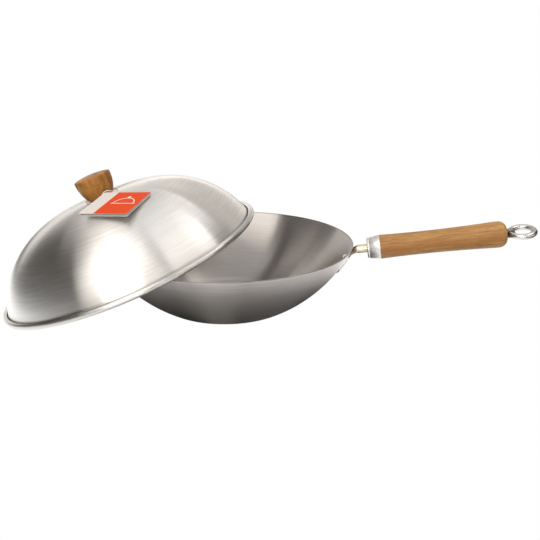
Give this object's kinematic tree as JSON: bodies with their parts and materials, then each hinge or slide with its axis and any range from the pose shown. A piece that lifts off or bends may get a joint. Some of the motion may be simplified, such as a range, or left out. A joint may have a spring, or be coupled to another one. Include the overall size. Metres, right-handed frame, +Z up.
{
  "type": "wok with loose lid",
  "caption": "Flat-bottomed steel wok with a wooden long handle and hanging ring, its loose domed lid with a wooden knob and a string-tied card tag leaning on the rim.",
  "frame": {"origin": "centre of the wok's flat base, on the surface that it stands on", "axes": "+Z up out of the wok's mouth, +X along the handle, +Y to the left of the handle seen from its end"},
  "size_m": [0.6139, 0.3295, 0.1635],
  "materials": {
    "wok_steel": "dark carbon steel, satin with faint turning marks",
    "lid_metal": "spun and finely brushed round the axis",
    "stem_metal": "polished plating with a warm tint",
    "bright_metal": "polished plating",
    "rivet_metal": "satin",
    "ferrule_metal": "satin plating",
    "screw_steel": "zinc plated",
    "insert_brass": "machined",
    "grip_wood": "turned and clear lacquered, grain along the handle",
    "knob_wood": "turned from upright laminated strips, clear lacquered",
    "tag_board": "coated card, printed in flat colours",
    "tag_paper": "uncoated white leaf",
    "string_fibre": "thin twisted cotton"
  },
  "bodies": {
    "wok": {"bowl": "wok_steel", "handle_stem": "stem_metal", "rivet_upper": "rivet_metal", "rivet_lower": "rivet_metal", "ferrule": "ferrule_metal", "grip": "grip_wood", "stem_nut": "screw_steel", "eye_bolt": "bright_metal", "eye_washer": "bright_metal"},
    "ring": {"hanging_ring": "bright_metal"},
    "lid": {"lid_dome": "lid_metal", "knob": "knob_wood", "knob_insert": "insert_brass", "knob_screw": "screw_steel", "knob_seat_washer": "screw_steel", "lid_washer": "screw_steel", "tag_string": "string_fibre", "string_knot": "string_fibre"},
    "tag": {"tag_back_leaf": "tag_board", "tag_inner_leaf": "tag_paper"},
    "tag_cover": {"tag_front_leaf": "tag_board"}
  },
  "joints": [
    {"name": "lid_lift", "type": "slide", "parent": "wok", "child": "lid", "axis": [0, 0, 1], "range_m": [0, 0.18]},
    {"name": "ring_swing", "type": "hinge", "parent": "wok", "child": "ring", "pos_m": [0.32394, 0, 0.09749], "axis": [-0.024, 0.9866, 0.1616], "range_deg": [-90, 90]},
    {"name": "tag_swing", "type": "hinge", "parent": "lid", "child": "tag", "pos_m": [-0.11804, -0.06643, 0.1409], "axis": [-0.1437, -0.2303, 0.9625], "range_deg": [-10, 10]},
    {"name": "tag_open", "type": "hinge", "parent": "tag", "child": "tag_cover", "pos_m": [-0.12353, -0.05858, 0.14422], "axis": [-0.9637, 0.2538, -0.0831], "range_deg": [0, 150]}
  ]
}
